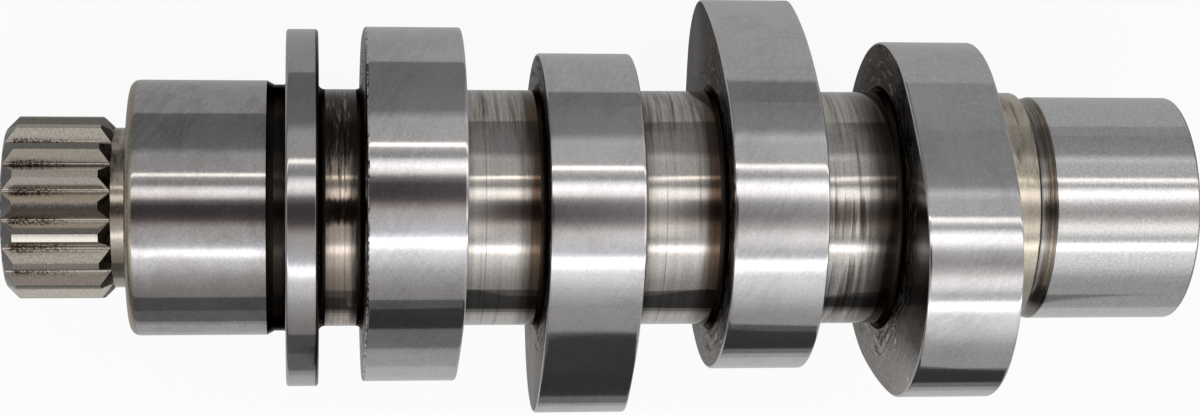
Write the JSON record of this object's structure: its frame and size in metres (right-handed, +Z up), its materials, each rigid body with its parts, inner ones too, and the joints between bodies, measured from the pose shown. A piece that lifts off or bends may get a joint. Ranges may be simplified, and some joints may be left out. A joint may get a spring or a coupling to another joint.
{
  "type": "camshaft",
  "caption": "Steel camshaft with a splined drive end, two ground bearing journals, a thrust flange and eccentric lobes that lift valves as it turns.",
  "frame": {"origin": "centre of the front journal, on the shaft axis", "axes": "+X along the shaft axis towards the splined drive end; +Z up with the shaft lying on a flat surface"},
  "size_m": [0.1474, 0.0523, 0.0516],
  "materials": {
    "ground_steel": "bright ground steel with darker turned necks and straw-coloured unground faces"
  },
  "bodies": {
    "root": {"camshaft": "ground_steel"}
  },
  "joints": []
}
